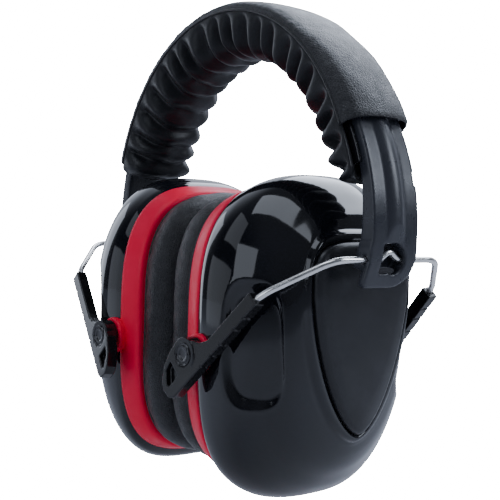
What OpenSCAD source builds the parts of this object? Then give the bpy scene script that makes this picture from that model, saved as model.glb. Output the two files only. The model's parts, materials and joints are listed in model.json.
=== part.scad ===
// Over-the-head earmuff hearing protector, in millimetres.
// +X is the wearer's left, -Y is the wearer's front, +Z is up.
// The origin is the crown rest: the lowest point of the head pad's inner face at the top of the arch.
// Each left piece is drawn, and its right twin is the mirror image in the plane X = 0.

/* [Cups] */
// Width of the red rim ring, front to rear
ring_w = 84.4; // [80:0.2:88]
// Height of the ring above its widest line
ring_up = 52; // [48:0.5:56]
// Height of the ring below its widest line
ring_down = 58.5; // [54:0.5:62]
// Depth of the ring along X
ring_depth = 10.1; // [9:0.1:12]
// Wall of the ring and of the cup shell
wall = 2.4; // [2:0.1:3]
// Gap between the two cushion faces when nothing spreads the cups
face_gap = 3; // [2.4:0.2:5]
// Thickness of the ear cushion
cushion_depth = 13.5; // [11:0.5:16]

/* [Headband] */
// Half the width of the arch at its seams
band_half = 15.5; // [14:0.1:17]
// Half the span of the arch at its edge
arch_a = 77.8; // [77:0.1:80]
// Rise of the arch's edge above the arc centre
arch_b = 85.4; // [84:0.1:88]
// Depth of the crown rest below the arc of the inner band
pad_depth = 6.6; // [5:0.2:9]
// Thickness of the leatherette cover
cover_t = 1.2; // [0.8:0.1:1.6]

/* [Arms] */
// Outer radius of the sliding arm about the arc centre
arm_r = 81.2; // [80.8:0.1:81.4]
// Thickness of the arm where it runs in its guide
arm_t = 5; // [4:0.1:5.2]
// Half the width of the arm
arm_half = 10.5; // [9:0.1:10.6]
// Angle that the arm's upper end reaches inside the band
arm_top = 40; // [36:1:43]

/* [Bails] */
// Diameter of the polished wire
wire_d = 2.4; // [1.8:0.1:2.6]
// Diameter of the pins that the cups tilt on
pin_d = 5; // [4:0.1:6]
// Thickness of a lever
lever_t = 4.2; // [3.8:0.1:5]
// Length of a lever from its pin to the wire's socket
lever_reach = 37.5; // [34:0.5:42]

/* [Hidden] */
$fn = 64;

run_gap = 0.3;        // clearance between an arm and its guide
seat_gap = 0.1;       // clearance between pieces that stay together
pin_play = 0.05;      // radial clearance of a running pin

// Radii of the band's layers about the arc centre
guide_t = 0.8;
floor_r = arm_r - arm_t - run_gap - guide_t;
band_t = 2.5;
band_in = floor_r - band_t;
lip_r = arm_r + run_gap;
lip_t = 0.7;
arc_z = -(band_in - pad_depth);
cup_z = arc_z - 34;

// Angles about the arc centre, from the wearer's left towards the crown
pad_end = 14.5;
tongue_end = 15.3;
left_cover_end = 27.5;
right_cover_end = 20;
guide_start = 29;
guide_end = 55;
strip_end = 58;

// Positions along X, outwards from the plane between the cups
face_x = face_gap / 2;
plate_x = face_x + cushion_depth;
ring_x = plate_x + 1.6;
rim_x = ring_x + ring_depth;

// Pivot of the cup on its levers, and of the wire in the arm
pin_x = rim_x + 2.5;
pin_z = cup_z - 10.6;
boss_face = ring_w / 2 + 2.2;
bail_r = 78.4;
bail_a = -7;
bail_x = bail_r * cos(bail_a);
bail_z = arc_z + bail_r * sin(bail_a);
bail_half = 24.5;
lever_mid = boss_face + 1.15 + lever_t / 2;
lever_lean = 8;
lever_turn = 45;
bar_v = -6.5;
bar_half = 2.6;
head_y = lever_mid + lever_t / 2 + 0.3;

// ---------------------------------------------------------------- outlines

// Distance from the centre to an oval whose upper and lower halves differ, at angle a from +Y.
function oval_r(w, up, down, n_up, n_down, a) =
    let (h = sin(a) >= 0 ? up : down, n = sin(a) >= 0 ? n_up : n_down)
    pow(pow(abs(cos(a)) / w, n) + pow(abs(sin(a)) / h, n), -1 / n);

// One ring of points at x. s = [x, centre z, half width, up, down, upper power, lower power].
function section_ring(s, steps, inset = 0) = [
    for (i = [0 : steps - 1])
        let (a = 360 * i / steps, r = oval_r(s[2], s[3], s[4], s[5], s[6], a) - inset)
        [s[0], r * cos(a), s[1] + r * sin(a)]
];

// The rim's own outline, drawn in by inset, at x
function rim_section(x) = [x, cup_z - 1.5, ring_w / 2, ring_up, ring_down, 2.9, 3.4];
function rim_outline(inset, steps = 48) =
    [for (p = section_ring(rim_section(0), steps, inset)) [p[1], p[2]]];

// Skins a list of rings. With ends true the first and last rings are closed by a flat fan.
module skin(rings, ends) {
    n = len(rings[0]);
    m = len(rings);
    body = [for (r = rings) each r];
    centre = [for (r = [rings[0], rings[m - 1]]) [for (k = [0 : 2]) sum([for (p = r) p[k]]) / n]];
    points = ends ? concat(body, centre) : body;
    last = ends ? m - 2 : m - 1;
    sides = [
        for (j = [0 : last], i = [0 : n - 1])
            let (a = j * n + i, b = j * n + (i + 1) % n, c = (j + 1) % m * n + i,
                d = (j + 1) % m * n + (i + 1) % n)
            each [[a, c, b], [b, c, d]]
    ];
    caps = ends ? [
        for (i = [0 : n - 1])
            each [[m * n, i, (i + 1) % n], [m * n + 1, (m - 1) * n + (i + 1) % n, (m - 1) * n + i]]
    ] : [];
    polyhedron(points, concat(sides, caps));
}

function sum(v, i = 0) = i == len(v) ? 0 : v[i] + sum(v, i + 1);

// Sweeps a profile of [x, inset] points around the rim's outline.
module rim_sweep(profile, steps = 48) {
    skin([for (p = profile) section_ring(rim_section(p[0]), steps, p[1])], false);
}

// ---------------------------------------------------------------- arch helpers

// Radius of the arch's edge at angle a about the arc centre
function edge_r(a) = 1 / sqrt(pow(cos(a) / arch_a, 2) + pow(sin(a) / arch_b, 2));

// A point at angle a and radius r about the arc centre
function arch_point(a, r, y) = [r * cos(a), y, arc_z + r * sin(a)];

// Places children with +X pointing outwards along the radius at angle a.
module at_angle(a) {
    translate([0, 0, arc_z]) rotate([0, -a, 0]) children();
}

// Turns a profile of [radius, y] about the arc centre, from angle a0 to a1.
module arc_sweep(a0, a1) {
    translate([0, 0, arc_z]) rotate([90, 0, 0]) rotate([0, 0, a0])
        rotate_extrude(angle = a1 - a0, $fn = 128) children();
}

// A block of radius r0 to r1 and of half width h
module arc_bar(r0, r1, h, a0, a1) {
    arc_sweep(a0, a1) translate([r0, -h]) square([r1 - r0, 2 * h]);
}

module left_and_right() {
    children();
    mirror([1, 0, 0]) children();
}

// Rivet places: in the guides and at the ends of the strip
rivet_angles = [33, 49, 62];
rivet_r = 1.5;

module rivet_holes() {
    left_and_right()
        for (a = rivet_angles)
            at_angle(a) rotate([0, 90, 0]) translate([0, 0, band_in - 2])
                cylinder(r = rivet_r + pin_play, h = 12);
}

// ---------------------------------------------------------------- headband

// The inner band's tongues run on below the guides, with a wall beside the arm. The rear wall is short, so
// that the arm's rear shoulder passes it.
module inner_band() {
    half = 11;
    wall_in = arm_half + run_gap + 0.1;
    wall_out = 11.9;
    wall_r = 78.6;
    round_a = tongue_end + half / band_in * 180 / PI;
    color([0.05, 0.05, 0.06])
    difference() {
        union() {
            arc_bar(band_in, floor_r - seat_gap, half, round_a, 180 - round_a);
            left_and_right()
                for (s = [-1, 1])
                    arc_sweep(tongue_end + (s < 0 ? 10.5 : 2), guide_start - 0.2)
                        polygon([[band_in, s * (half - 1)], [band_in, s * wall_out],
                            [wall_r, s * wall_out], [wall_r, s * wall_in],
                            [floor_r - 0.2, s * wall_in], [floor_r - 0.2, s * (half - 1)]]);
            left_and_right()
                intersection() {
                    arc_bar(band_in, floor_r - seat_gap, half, tongue_end - 2, round_a + 1);
                    at_angle(round_a) rotate([0, 90, 0]) translate([0, 0, band_in - 8])
                        cylinder(r = half, h = 16);
                }
        }
        rivet_holes();
    }
}

module spring_strip() {
    color([0.6, 0.62, 0.64])
    difference() {
        arc_bar(floor_r, floor_r + 1.2, 8, strip_end, 180 - strip_end);
        rivet_holes();
    }
}

module band_rivets() {
    color([0.7, 0.7, 0.72])
    left_and_right()
        for (a = rivet_angles)
            at_angle(a) rotate([0, 90, 0]) translate([0, 0, band_in])
                cylinder(r = rivet_r, h = floor_r - band_in + (a > guide_end ? 1.2 : guide_t));
}

// Folded steel channel that the arm slides in
module arm_guide() {
    side_in = arm_half + run_gap;
    side_out = side_in + guide_t;
    lip_in = 5.2;
    color([0.55, 0.56, 0.58])
    difference() {
        arc_sweep(guide_start, guide_end)
            union() {
                translate([floor_r, -side_out]) square([guide_t, 2 * side_out]);
                for (s = [-1, 1])
                    mirror([0, s < 0 ? 1 : 0]) {
                        translate([floor_r, side_in]) square([lip_r + lip_t - floor_r, guide_t]);
                        translate([lip_r, lip_in]) square([lip_t, side_out - lip_in]);
                    }
            }
        rivet_holes();
    }
}

function both_sides(half) = concat(half, [for (i = [len(half) - 2 : -1 : 0]) [-half[i][0], half[i][1]]]);
function reversed(v) = [for (i = [len(v) - 1 : -1 : 0]) v[i]];

// Height of the cover's middle above the arch's edge: low over the crown, higher over the guides.
cover_low = 2.8;
cover_high = 5.8;
function cover_rise(a) =
    let (side = min(a, 180 - a), t = min(max((strip_end - side) / (strip_end - guide_start), 0), 1))
    cover_low + (cover_high - cover_low) * t;

// Half of the cover's section at angle a, as [y, height above the arch's edge], inset by t
function cover_half(a, t) =
    let (h = cover_rise(a))
    [
        [band_half - t, -3.5], [15.4 - t, -1.4], [14.9 - t, 0.16 * h - 0.3 * t],
        [13.6 - t, 0.45 * h - 0.7 * t],
        [11.3 - 0.2 * t, 0.75 * h - t], [6, 0.95 * h - t], [0, h - t]
    ];

module outer_cover() {
    stations = 40;
    step = (180 - left_cover_end - right_cover_end) / stations;
    color([0.11, 0.11, 0.12])
    skin([
        for (i = [0 : stations])
            let (
                a = left_cover_end + i * step,
                profile = concat(both_sides(cover_half(a, 0)), reversed(both_sides(cover_half(a, cover_t))))
            )
            [for (p = profile) arch_point(a, edge_r(a) + p[1], p[0])]
    ], true);
}

// Inner face of the pad at angle a, as [y, radius] from one edge to the other.
function pad_face(a) =
    let (
        edge = edge_r(a) - pad_edge,
        full = edge_r(90) - pad_edge - (band_in - pad_depth),
        t = min(min(a, 180 - a) - pad_end, pad_taper) / pad_taper,
        bulge = full * (0.45 + 0.55 * t * t * (3 - 2 * t))
    )
    [for (y = [14.9, 13.4, 11, 8, 4, 0]) [y, edge - bulge * sqrt(1 - pow(y / 15, 2.4))]];

pad_edge = 10.3;      // depth of the pad's edge below the arch's edge
pad_taper = 20;       // angle over which the pad swells to its full depth

module head_pad() {
    stations = 44;
    step = (180 - 2 * pad_end) / stations;
    slot = 12.1;
    color([0.08, 0.08, 0.09])
    difference() {
        skin([
            for (i = [0 : stations])
                let (
                a = pad_end + i * step,
                top = edge_r(a) - 3.6,
                covered = a > left_cover_end - 1 && a < 181 - right_cover_end
            )
                [for (p = concat(
                    both_sides(pad_face(a)),
                    [[-band_half, edge_r(a) - 7], [-15.4, covered ? top : band_in - 0.15]],
                    [[15.4, covered ? top : band_in - 0.15], [band_half, edge_r(a) - 7]]
                )) arch_point(a, p[1], p[0])]
        ], true);
        arc_bar(band_in - seat_gap, 100, slot, 0, 180);
    }
}

module crown_foam() {
    stations = 16;
    step = (180 - 2 * (guide_end + 1)) / stations;
    color([0.3, 0.3, 0.32])
    skin([
        for (i = [0 : stations])
            let (a = guide_end + 1 + i * step, r = edge_r(a))
            [for (p = [[11, floor_r + 1.4], [11, r + 0.5], [6, r + 1.2], [-6, r + 1.2], [-11, r + 0.5],
            [-11, floor_r + 1.4]])
                arch_point(a, p[1], p[0])]
    ], true);
}

// ---------------------------------------------------------------- arms

rib_half = 4.3;
rib_h = 1.6;
rib_end = -2.4;       // angle where the rib runs out, just above the window
rib_slope = 12;       // slope of the plane that ends the rib
block_top = 50;       // heights of the arm's block above the cup's centre line
flare_z = 28;
foot_z = 15;
foot_r = 11.5;
block_shift = 5.8;    // how far the block's inner face sits off the arc's centre
window_deep = 3.1;    // depth of the window behind the wire's centre line
foot_t = 3;           // the outer plate that goes on below the block
block_end = -9.6;     // angle where the block stops and only the plate goes on

// The arm seen from outside: [y, height above the cup's centre line]
module arm_outline() {
    translate([-arm_half, flare_z]) square([2 * arm_half, 80]);
    translate([0, foot_z + foot_r]) square([arm_half + 0.8, block_top - foot_z - foot_r]);
    translate([0, foot_z + foot_r]) circle(r = foot_r);
    polygon([
        [-arm_half, flare_z + 1], [0, flare_z + 1], [0, foot_z], [-11, foot_z], [-12.6, foot_z + 1.4],
        [-12.7, foot_z + 3]
    ]);
    translate([-10.8, foot_z + 2]) circle(r = 2, $fn = 32);
}

module arm_window() {
    translate([0.3, 24.9]) circle(r = 5.3);
    translate([-5, 24.9]) square([5.3, 5]);
    polygon([[-5, 25], [-6.4, 19.8], [-3, 19.8], [0, 21]]);
}

// Cuts children, drawn as [y, height], straight along X from x0 to x1.
module from_outside(x0, x1) {
    translate([x0, 0, cup_z]) rotate([90, 0, 90]) linear_extrude(x1 - x0) children();
}

module arm() {
    thin_r = arm_r - arm_t;
    rib_r = (rib_half * rib_half + rib_h * rib_h) / (2 * rib_h);
    color([0.12, 0.12, 0.13])
    difference() {
        union() {
            intersection() {
                arc_bar(70, arm_r, 16, -20, arm_top);
                from_outside(40, 90) arm_outline();
            }
            difference() {
                arc_sweep(rib_end, arm_top - 2)
                    intersection() {
                        translate([arm_r + rib_h - rib_r, 0]) circle(r = rib_r);
                        translate([arm_r - 0.5, -rib_half]) square([4, 2 * rib_half]);
                    }
                at_angle(rib_end) translate([arm_r, 0, 0]) rotate([0, rib_slope, 0]) translate([0, -10, -30])
                    cube([20, 20, 60]);
            }
        }
        intersection() {
            at_angle(0) rotate([90, 0, 0]) cylinder(r = thin_r, h = 60, center = true, $fn = 128);
            at_angle(0) translate([0, 0, block_shift]) rotate([90, 0, 0])
                cylinder(r = thin_r - 1.2, h = 60, center = true, $fn = 128);
        }
        arc_bar(60, arm_r - foot_t, 20, -25, block_end);
        from_outside(bail_x - window_deep, 90) arm_window();
        translate([bail_x, 0, bail_z]) rotate([90, 0, 0])
            cylinder(d = wire_d + 2 * pin_play, h = 60, center = true);
    }
}

// ---------------------------------------------------------------- bails

// A lever's own frame has its origin on the pin, u along the bar and v across it.
module lever_frame() {
    translate([pin_x, -lever_mid, pin_z]) rotate([0, -lever_turn, 0]) rotate([0, 0, lever_lean])
        rotate([90, 0, 0]) children();
}

function lever_point(u) =
    let (
        x0 = u * cos(lever_lean),
        y0 = u * sin(lever_lean),
        ct = cos(lever_turn),
        st = sin(lever_turn)
    )
    [pin_x + x0 * ct - bar_v * st, -lever_mid + y0, pin_z + x0 * st + bar_v * ct];

// Places along the bar of the shallow grooves across its outer edge
grip_grooves = [4, 10, 16, 24, 30];

module lever() {
    color([0.03, 0.03, 0.035])
    difference() {
        union() {
            difference() {
                lever_frame() translate([0, 0, -lever_t / 2]) linear_extrude(lever_t)
                    union() {
                        translate([-13, bar_v - bar_half]) square([lever_reach + 13, 2 * bar_half]);
                        polygon([
                            [-13, bar_v - bar_half], [-15.4, -7.6], [-16.2, -3.8], [-15, -0.6],
                            [-10.6, 3.2], [-5, 5.4],
                            [0, 5.8], [5.2, 2], [8.6, -2], [12.4, bar_v + bar_half], [12.4, bar_v]
                        ]);
                    }
                for (u = grip_grooves)
                    lever_frame() translate([u, bar_v - bar_half - 0.6, -5]) cube([0.8, 1, 10]);
                lever_frame() translate([0, 0, lever_t / 2 - 2]) linear_extrude(3)
                    polygon([[-13.6, -3.4], [-10.6, 1.2], [-7.2, 2.2], [-7.2, -4.2], [-12.4, -4.6]]);
            }
            translate([pin_x, -boss_face - 0.35, pin_z]) rotate([90, 0, 0])
                cylinder(r = 6, h = head_y - boss_face - 0.7);
        }
        translate([pin_x, 0, pin_z]) rotate([90, 0, 0]) cylinder(d = pin_d + 2 * pin_play, h = 80);
        translate([pin_x, -head_y + 0.35, pin_z]) rotate([90, 0, 0]) cylinder(r = 4.3, h = 20);
        lever_frame() translate([lever_reach - 14, bar_v, 0]) rotate([0, 90, 0])
            cylinder(d = wire_d + 2 * pin_play, h = 30);
    }
}

module lever_pins() {
    color([0.04, 0.04, 0.045])
    for (s = [0, 1])
        mirror([0, s, 0]) {
            translate([pin_x, 4.4 - boss_face, pin_z]) rotate([90, 0, 0])
                cylinder(d = pin_d, h = head_y + 4.6 - boss_face);
            translate([pin_x, -head_y + 0.3, pin_z]) rotate([90, 0, 0]) cylinder(r = 4.2, h = 1);
        }
}

// A straight run of wire with a ball, a hair wider than the wire, where it bends at its far end
module wire_run(a, b) {
    d = b - a;
    l = norm(d);
    translate(a) rotate([0, acos(d[2] / l), atan2(d[1], d[0])]) cylinder(d = wire_d, h = l, $fn = 32);
    translate(b) sphere(d = wire_d + 0.04, $fn = 32);
}

kink_half = 4.2;
kink_h = 3.4;

module bail_wire() {
    route = [
        lever_point(lever_reach - 13), lever_point(lever_reach + 1.5), [bail_x, -bail_half, bail_z],
        [bail_x, -kink_half, bail_z], [bail_x + 0.6, 0.5, bail_z + kink_h], [bail_x, kink_half, bail_z]
    ];
    color([0.8, 0.8, 0.82]) {
        for (i = [0 : len(route) - 2])
            wire_run(route[i], route[i + 1]);
        mirror([0, 1, 0])
            for (i = [0 : 2])
                wire_run(route[i], route[i + 1]);
    }
}

// ---------------------------------------------------------------- cups

boss_r = 7;

module rim_ring() {
    taper = 2.6;
    deep = 12;
    color([0.86, 0.06, 0.14])
    difference() {
        union() {
            rim_sweep([
                [ring_x, taper + 0.9], [ring_x + 0.8, taper - 0.1], [ring_x + 5, 1], [rim_x - 1, 0],
                [rim_x, 0.4],
                [rim_x, wall + 0.4], [ring_x + 3, taper + 2.2], [ring_x + 2.6, deep], [ring_x, deep]
            ]);
            for (s = [0, 1])
                mirror([0, s, 0]) translate([pin_x, 5.4 - boss_face, pin_z]) rotate([90, 0, 0])
                    cylinder(r = boss_r, h = 5.4);
        }
        for (s = [0, 1])
            mirror([0, s, 0]) translate([pin_x, 4.9 - boss_face, pin_z]) rotate([90, 0, 0])
                cylinder(d = pin_d + 2 * pin_play, h = 20);
    }
}

// Sections of the shell: [depth beyond the rim, centre, half width, up, down, upper power, lower power]
shell_sections = [
    [0, -1.5, 41.8, 51.6, 58.1, 2.9, 3.4],
    [3, -1.5, 42.6, 53.4, 61, 2.8, 3.3],
    [9, -1.5, 43, 55.2, 62.6, 2.7, 3.0],
    [16, -1.5, 42.4, 55.2, 61.6, 2.6, 2.7],
    [22, -1.5, 40.4, 53, 58.8, 2.5, 2.4],
    [27, -1, 37, 48.6, 55, 2.5, 2.2],
    [31, 0, 33.4, 43, 51, 2.6, 2.1],
    [33.6, 2, 30.8, 37.4, 48.6, 2.8, 2],
    [35, 6, 28.8, 30, 48.6, 3.2, 1.9]
];
plinth_foot = [35.6, 10, 28, 24.5, 51, 3.6, 1.8];
plinth_top = [37.6, 12, 26.9, 20, 52, 3.6, 1.7];
panel_base = [37.7, 15, 25.3, 15.5, 53.5, 3.4, 1.62];
panel_top = [40, 15, 24.5, 14.7, 52.5, 3.4, 1.6];

// A section moved to its place, and drawn in by wall t
function placed(s, t = 0) = [rim_x + s[0] - t * 0.8, cup_z + s[1], s[2] - t, s[3] - t, s[4] - t, s[5], s[6]];

// The cup's face leans back a little towards the wearer's rear. Ring r is leaned by its depth beyond the rim.
face_lean = 0.09;
face_shift = 2;
function leaned(r) =
    let (t = min(max((r[0][0] - rim_x - 27) / 8, 0), 1))
    [for (p = r) [p[0] - face_lean * t * p[1], p[1] + face_shift * t, p[2]]];

// Section s with its x changed
function with_x(s, x) = [x, s[1], s[2], s[3], s[4], s[5], s[6]];

module cup_shell() {
    steps = 48;
    inner = [for (s = shell_sections)
        leaned(section_ring(with_x(placed(s, wall), max(placed(s, wall)[0], rim_x)), steps))];
    outer = [for (s = concat(shell_sections, [plinth_foot, plinth_top]))
        leaned(section_ring(placed(s), steps))];
    color([0.03, 0.03, 0.04])
    difference() {
        skin(concat(reversed(inner), outer), true);
        for (s = [0, 1])
            mirror([0, s, 0]) translate([pin_x, -30, pin_z]) rotate([90, 0, 0])
                cylinder(r = boss_r + seat_gap, h = 40);
    }
}

module shell_panel() {
    steps = 48;
    color([0.09, 0.09, 0.1])
    skin([
        leaned(section_ring(placed(panel_base), steps)),
        leaned(section_ring(with_x(placed(panel_base), rim_x + panel_top[0] - 0.7), steps)),
        leaned(section_ring(placed(panel_top), steps))
    ], true);
}

// The block that fills the cup, drawn in by t and starting at depth d
module cup_filling(d, t) {
    skin([
        for (s = concat([[d, -1.5, 36, 46, 50, 2.8, 3]], [for (i = [2, 4, 5, 6, 7]) shell_sections[i]]))
            section_ring(placed(s, s[0] < 0 ? t : wall + 3 + t), 36)
    ], true);
}

module foam_insert() {
    lining = 8;
    color([0.2, 0.2, 0.22])
    difference() {
        cup_filling(-4, 0);
        cup_filling(-12, lining);
    }
}

module foam_disc() {
    color([0.16, 0.16, 0.17])
    from_outside_rim(ring_x + 0.2, ring_x + 3) polygon(rim_outline(14.2));
}

// Extrudes an outline of [y, z] points along X from x0 to x1.
module from_outside_rim(x0, x1) {
    translate([x0, 0, 0]) rotate([90, 0, 90]) linear_extrude(x1 - x0) children();
}

module cushion_plate() {
    color([0.07, 0.07, 0.08])
    union() {
        from_outside_rim(plate_x, ring_x) difference() {
            polygon(rim_outline(5.4));
            polygon(rim_outline(19.4));
        }
        from_outside_rim(plate_x, ring_x + 2.4) difference() {
            polygon(rim_outline(12.1));
            polygon(rim_outline(13.9));
        }
    }
}

// The cushion's section as [x beyond the face, inset from the rim's outline], from back to back
cushion_section = [
    [cushion_depth, 4.8], [11, 3.5], [7.2, 3.2], [3.4, 4.2], [1, 6.6], [-0.4, 10.4],
    [-0.4, 14.6], [1, 18], [3.6, 19.6], [8, 20.2], [cushion_depth, 20]
];

function cushion_profile(t) = [
    for (p = cushion_section)
        let (mid = 12, d = [p[0] - 7.5, p[1] - mid])
        [face_x + (p[0] > cushion_depth - 1 ? p[0] - seat_gap : p[0] - t * d[0] / 7.5), p[1] - t * d[1] / 8]
];

module cushion_cover() {
    color([0.1, 0.1, 0.11])
    intersection() {
        rim_sweep(concat(cushion_profile(0), reversed(cushion_profile(1))));
        translate([face_x, -60, cup_z - 80]) cube([40, 120, 160]);
    }
}

module cushion_foam() {
    color([0.25, 0.25, 0.27])
    intersection() {
        rim_sweep(cushion_profile(1.3));
        translate([face_x + 1.1, -60, cup_z - 80]) cube([40, 120, 160]);
    }
}

// ---------------------------------------------------------------- left and right

module twin() {
    mirror([1, 0, 0]) children();
}

module rear() {
    mirror([0, 1, 0]) children();
}

inner_band();
spring_strip();
band_rivets();
arm_guide();  // left_arm_guide
twin() arm_guide();  // right_arm_guide
crown_foam();
outer_cover();
head_pad();
arm();  // left_arm
twin() arm();  // right_arm
bail_wire();  // left_bail_wire
twin() bail_wire();  // right_bail_wire
lever();  // left_front_lever
rear() lever();  // left_rear_lever
twin() lever();  // right_front_lever
twin() rear() lever();  // right_rear_lever
lever_pins();  // left_lever_pins
twin() lever_pins();  // right_lever_pins
rim_ring();  // left_rim_ring
twin() rim_ring();  // right_rim_ring
cup_shell();  // left_cup_shell
twin() cup_shell();  // right_cup_shell
shell_panel();  // left_shell_panel
twin() shell_panel();  // right_shell_panel
foam_insert();  // left_foam_insert
twin() foam_insert();  // right_foam_insert
foam_disc();  // left_foam_disc
twin() foam_disc();  // right_foam_disc
cushion_plate();  // left_cushion_plate
twin() cushion_plate();  // right_cushion_plate
cushion_cover();  // left_cushion_cover
twin() cushion_cover();  // right_cushion_cover
cushion_foam();  // left_cushion_foam
twin() cushion_foam();  // right_cushion_foam
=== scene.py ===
"""An over-the-head earmuff: its looks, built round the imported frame."""
import json
import math
import random

import bmesh
import bpy
from mathutils import Matrix, Vector, noise


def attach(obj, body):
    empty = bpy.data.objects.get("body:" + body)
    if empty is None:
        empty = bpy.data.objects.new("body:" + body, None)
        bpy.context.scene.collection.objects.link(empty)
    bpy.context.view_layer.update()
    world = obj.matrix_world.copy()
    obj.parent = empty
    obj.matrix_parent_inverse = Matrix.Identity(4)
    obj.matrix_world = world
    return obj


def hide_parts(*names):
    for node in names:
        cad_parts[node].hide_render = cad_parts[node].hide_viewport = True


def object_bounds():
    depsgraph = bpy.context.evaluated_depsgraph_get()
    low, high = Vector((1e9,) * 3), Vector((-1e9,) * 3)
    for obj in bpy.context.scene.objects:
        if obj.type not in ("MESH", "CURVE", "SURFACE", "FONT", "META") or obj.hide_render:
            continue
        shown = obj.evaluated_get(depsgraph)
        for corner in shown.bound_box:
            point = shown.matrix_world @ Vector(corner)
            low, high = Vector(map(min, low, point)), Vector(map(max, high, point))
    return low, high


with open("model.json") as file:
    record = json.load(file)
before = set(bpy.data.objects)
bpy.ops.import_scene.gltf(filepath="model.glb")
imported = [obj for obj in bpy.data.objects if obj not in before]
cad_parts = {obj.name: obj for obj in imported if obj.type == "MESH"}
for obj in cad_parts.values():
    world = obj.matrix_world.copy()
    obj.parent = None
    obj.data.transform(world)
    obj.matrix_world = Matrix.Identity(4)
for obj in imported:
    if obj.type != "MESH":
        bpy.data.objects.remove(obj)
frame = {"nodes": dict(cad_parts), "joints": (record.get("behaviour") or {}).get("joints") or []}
cad_low, cad_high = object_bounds()
MM = 0.001  # metres

# ---------------------------------------------------------------- places, from the frame

joints = {joint["name"]: joint for joint in frame["joints"]}
ARC_Z = joints["left_arm_slide"]["pos_m"][2] / MM
BAIL_X, BAIL_Z = [joints["left_bail_pivot"]["pos_m"][k] / MM for k in (0, 2)]
PIN_X, PIN_Z = [joints["left_cup_tilt"]["pos_m"][k] / MM for k in (0, 2)]
CUP_Z = PIN_Z + 10.6
RIM_X = PIN_X - 2.5  # where the shell starts
RING_X = RIM_X - 10.1  # the red ring's inner face
PLATE_X = RING_X - 1.6
FACE_X = PLATE_X - 13.5  # the cushion's sealing face
SIDES = ("left", "right")

# ---------------------------------------------------------------- mesh helpers, in millimetres


def loft(rings, loop=False):
    """Extrudes a ring of points through the rings given. With loop true the last meets the first."""
    bm = bmesh.new()
    step = bm.verts.layers.int.new("step")
    start = bmesh.ops.create_circle(bm, segments=len(rings[0]), radius=1)["verts"]
    for index, vert in enumerate(start):
        vert[step] = index
        vert.co = Vector(rings[0][index])
    first = edges = bm.edges[:]
    for ring in rings[1:]:
        grown = bmesh.ops.extrude_edge_only(bm, edges=edges)["geom"]
        fresh = {item for item in grown if isinstance(item, bmesh.types.BMVert)}
        for vert in fresh:
            vert.co = Vector(ring[vert[step]])
        edges = [item for item in grown if isinstance(item, bmesh.types.BMEdge) and set(item.verts) <= fresh]
    if loop:
        bmesh.ops.bridge_loops(bm, edges=first + edges)
    else:
        bmesh.ops.contextual_create(bm, geom=first)
        bmesh.ops.contextual_create(bm, geom=edges)
    return bm


def finish_mesh(name, bm, material, body, replaces=(), crease=180.0, levels=0, mirror=False):
    """Turns a bmesh in millimetres into a piece that rides on its body and stands for its CAD nodes."""
    if mirror:
        bmesh.ops.scale(bm, vec=(-1, 1, 1), verts=bm.verts)
    bmesh.ops.remove_doubles(bm, verts=bm.verts, dist=0.0005)
    bmesh.ops.recalc_face_normals(bm, faces=bm.faces)
    bmesh.ops.scale(bm, vec=(MM, MM, MM), verts=bm.verts)
    mesh = bpy.data.meshes.new(name)
    bm.to_mesh(mesh)
    bm.free()
    piece = bpy.data.objects.new(name, mesh)
    bpy.context.scene.collection.objects.link(piece)
    mesh.materials.append(material)
    mesh.polygons.foreach_set("use_smooth", [True] * len(mesh.polygons))
    if crease < 180:
        mesh.set_sharp_from_angle(angle=math.radians(crease))
    if levels:
        surface = piece.modifiers.new("surface", "SUBSURF")
        surface.levels = surface.render_levels = levels
    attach(piece, body)
    if replaces:
        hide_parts(*replaces)
    return piece


def node_copy(node):
    """A CAD node's mesh in millimetres, with its triangles merged."""
    bm = bmesh.new()
    bm.from_mesh(frame["nodes"][node].data)
    bmesh.ops.scale(bm, vec=(1 / MM, 1 / MM, 1 / MM), verts=bm.verts)
    bmesh.ops.remove_doubles(bm, verts=bm.verts, dist=0.01)
    return bm


def softened(node, name, material, body, width, segments=2):
    """A finer copy of a hard CAD node: its triangles joined into whole faces and its edges rounded."""
    bm = node_copy(node)
    bmesh.ops.dissolve_limit(bm, angle_limit=math.radians(1.2), verts=bm.verts, edges=bm.edges)
    sharp = [e for e in bm.edges if e.is_manifold and e.calc_face_angle(0) > math.radians(32)]
    bmesh.ops.bevel(
        bm, geom=sharp, offset=width, offset_type="OFFSET", segments=segments, profile=0.5,
        affect="EDGES", clamp_overlap=True, material=-1,
    )
    return finish_mesh(name, bm, material, body, replaces=(node,), crease=28)


def moulded(node, name, material, body, voxel, rounds):
    """A copy of a hard CAD node with every edge softened, as a moulding's are."""
    bm = node_copy(node)
    rough = bpy.data.meshes.new("rough")
    bm.to_mesh(rough)
    bm.free()
    block = bpy.data.objects.new("rough", rough)
    bpy.context.scene.collection.objects.link(block)
    fine = block.modifiers.new("fine", "REMESH")
    fine.mode = "VOXEL"
    fine.voxel_size = voxel
    smooth = block.modifiers.new("smooth", "SMOOTH")
    smooth.factor = 0.5
    smooth.iterations = rounds
    shaped = bmesh.new()
    shaped.from_object(block, bpy.context.evaluated_depsgraph_get())
    bpy.data.objects.remove(block)
    bpy.data.meshes.remove(rough)
    return finish_mesh(name, shaped, material, body, replaces=(node,))


def smooth_curve(points, fineness):
    """A smooth curve's points through the ones given, with fineness steps between each pair."""
    last = len(points) - 1
    curve = []
    for i in range(last):
        p = [Vector(points[min(max(i + k, 0), last)]) for k in (-1, 0, 1, 2)]
        for j in range(fineness):
            t = j / fineness
            curve.append(0.5 * (
                2 * p[1] + (p[2] - p[0]) * t + (2 * p[0] - 5 * p[1] + 4 * p[2] - p[3]) * t * t
                + (3 * p[1] - p[0] - 3 * p[2] + p[3]) * t ** 3
            ))
    curve.append(Vector(points[-1]))
    return curve


def ease(t):
    """0 to 1 with a soft start and a soft end."""
    t = min(max(t, 0.0), 1.0)
    return t * t * (3 - 2 * t)


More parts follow.
